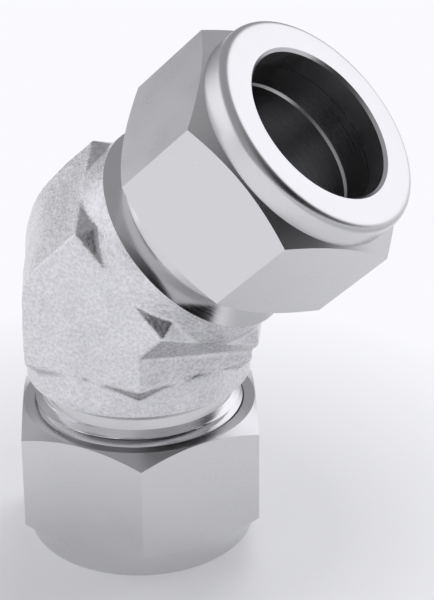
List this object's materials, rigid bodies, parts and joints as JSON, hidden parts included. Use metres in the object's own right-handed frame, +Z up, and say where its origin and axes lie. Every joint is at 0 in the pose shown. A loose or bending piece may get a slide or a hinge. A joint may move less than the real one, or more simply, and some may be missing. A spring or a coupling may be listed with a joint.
{
  "type": "tube fitting",
  "caption": "Forged 45 degree union elbow that joins two metal tubes, with a hexagon nut and two gripping ferrules on each arm.",
  "frame": {"origin": "centre of the lower nut's end face, which the fitting stands on, in the mouth of the lower tube socket", "axes": "+Z up the lower arm's axis to the bend; the upper arm leans from +Z towards +X by 45 degrees; the XZ plane halves the fitting"},
  "size_m": [0.05, 0.0286, 0.0675],
  "materials": {
    "forged_body": "fine grained forged stainless steel, with turned necks and thread",
    "machined_nut": "smooth machined stainless steel",
    "ferrule": "turned stainless steel"
  },
  "bodies": {
    "elbow": {"elbow_body": "forged_body"},
    "lower_ferrules": {"lower_front_ferrule": "ferrule", "lower_back_ferrule": "ferrule"},
    "lower_nut": {"lower_nut": "machined_nut"},
    "upper_ferrules": {"upper_front_ferrule": "ferrule", "upper_back_ferrule": "ferrule"},
    "upper_nut": {"upper_nut": "machined_nut"}
  },
  "joints": [
    {"name": "lower_nut_advance", "type": "slide", "parent": "elbow", "child": "lower_ferrules", "axis": [0, 0, -1], "range_m": [0, 0.00763]},
    {"name": "lower_nut_turn", "type": "hinge", "parent": "lower_ferrules", "child": "lower_nut", "pos_m": [0, 0, 0.034], "axis": [0, 0, -1], "range_deg": [0, 2160]},
    {"name": "upper_nut_advance", "type": "slide", "parent": "elbow", "child": "upper_ferrules", "axis": [0.7071, 0, 0.7071], "range_m": [0, 0.00763]},
    {"name": "upper_nut_turn", "type": "hinge", "parent": "upper_ferrules", "child": "upper_nut", "pos_m": [0, 0, 0.034], "axis": [0.7071, 0, 0.7071], "range_deg": [0, 2160]}
  ],
  "couplings": [
    {"joint": "lower_nut_advance", "follows": "lower_nut_turn", "m_per_rad": 0.00020213},
    {"joint": "upper_nut_advance", "follows": "upper_nut_turn", "m_per_rad": 0.00020213}
  ]
}
